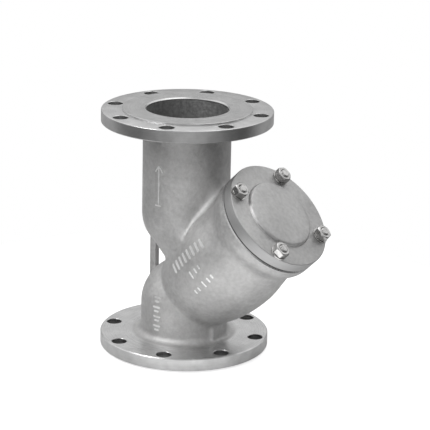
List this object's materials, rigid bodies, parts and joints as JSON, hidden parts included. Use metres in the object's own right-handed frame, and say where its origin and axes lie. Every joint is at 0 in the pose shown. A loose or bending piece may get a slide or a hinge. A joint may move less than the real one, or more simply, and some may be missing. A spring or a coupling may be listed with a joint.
{
  "type": "y strainer",
  "caption": "Flanged Y strainer in cast stainless steel: straight pipe run, slanted strainer leg, bolted round cover and a removable perforated screen.",
  "frame": {"origin": "centre of the lower flange's raised face", "axes": "+Z along the pipe from the lower to the upper flange, +X towards the side the strainer leg leans to"},
  "size_m": [0.2883, 0.206, 0.298],
  "materials": {
    "cast_steel": "bead-blasted satin stainless casting, machined flange faces",
    "cover_steel": "bead-blasted satin stainless casting with a turned rim",
    "gasket": "matt black sheet gasket",
    "fastener_steel": "bright stainless, slightly worn",
    "screen_steel": "perforated stainless sheet",
    "mesh_steel": "woven stainless wire cloth"
  },
  "bodies": {
    "casting": {"body": "cast_steel", "stud_1": "fastener_steel", "stud_2": "fastener_steel", "stud_3": "fastener_steel", "stud_4": "fastener_steel"},
    "lid": {"cover": "cover_steel"},
    "seal": {"cover_gasket": "gasket"},
    "basket": {"screen_shell": "screen_steel", "screen_mesh": "mesh_steel", "screen_seat_ring": "screen_steel", "screen_cover_ring": "screen_steel", "screen_seam_strip": "screen_steel", "screen_handle": "screen_steel", "handle_rivet_1": "screen_steel", "handle_rivet_2": "screen_steel"},
    "washer_body_1": {"washer_1": "fastener_steel"},
    "nut_body_1": {"nut_1": "fastener_steel"},
    "washer_body_2": {"washer_2": "fastener_steel"},
    "nut_body_2": {"nut_2": "fastener_steel"},
    "washer_body_3": {"washer_3": "fastener_steel"},
    "nut_body_3": {"nut_3": "fastener_steel"},
    "washer_body_4": {"washer_4": "fastener_steel"},
    "nut_body_4": {"nut_4": "fastener_steel"}
  },
  "joints": [
    {"name": "cover_slide", "type": "slide", "parent": "casting", "child": "lid", "axis": [0.7071, 0, 0.7071], "range_m": [0, 0.4]},
    {"name": "gasket_slide", "type": "slide", "parent": "casting", "child": "seal", "axis": [0.7071, 0, 0.7071], "range_m": [0, 0.3]},
    {"name": "screen_slide", "type": "slide", "parent": "casting", "child": "basket", "axis": [0.7071, 0, 0.7071], "range_m": [0, 0.2]},
    {"name": "washer_slide_1", "type": "slide", "parent": "lid", "child": "washer_body_1", "axis": [0.7071, 0, 0.7071], "range_m": [0, 0.012]},
    {"name": "nut_turn_1", "type": "hinge", "parent": "washer_body_1", "child": "nut_body_1", "pos_m": [0.17117, 0.04207, 0.16667], "axis": [0.7071, 0, 0.7071], "range_deg": [0, 2880]},
    {"name": "washer_slide_2", "type": "slide", "parent": "lid", "child": "washer_body_2", "axis": [0.7071, 0, 0.7071], "range_m": [0, 0.012]},
    {"name": "nut_turn_2", "type": "hinge", "parent": "washer_body_2", "child": "nut_body_2", "pos_m": [0.11167, 0.04207, 0.22617], "axis": [0.7071, 0, 0.7071], "range_deg": [0, 2880]},
    {"name": "washer_slide_3", "type": "slide", "parent": "lid", "child": "washer_body_3", "axis": [0.7071, 0, 0.7071], "range_m": [0, 0.012]},
    {"name": "nut_turn_3", "type": "hinge", "parent": "washer_body_3", "child": "nut_body_3", "pos_m": [0.11167, -0.04207, 0.22617], "axis": [0.7071, 0, 0.7071], "range_deg": [0, 2880]},
    {"name": "washer_slide_4", "type": "slide", "parent": "lid", "child": "washer_body_4", "axis": [0.7071, 0, 0.7071], "range_m": [0, 0.012]},
    {"name": "nut_turn_4", "type": "hinge", "parent": "washer_body_4", "child": "nut_body_4", "pos_m": [0.17117, -0.04207, 0.16667], "axis": [0.7071, 0, 0.7071], "range_deg": [0, 2880]}
  ],
  "couplings": [
    {"joint": "gasket_slide", "follows": "cover_slide", "ratio": 0.75},
    {"joint": "screen_slide", "follows": "cover_slide", "ratio": 0.5},
    {"joint": "nut_turn_1", "follows": "washer_slide_1", "rad_per_m": 4188.8},
    {"joint": "nut_turn_2", "follows": "washer_slide_2", "rad_per_m": 4188.8},
    {"joint": "nut_turn_3", "follows": "washer_slide_3", "rad_per_m": 4188.8},
    {"joint": "nut_turn_4", "follows": "washer_slide_4", "rad_per_m": 4188.8}
  ]
}
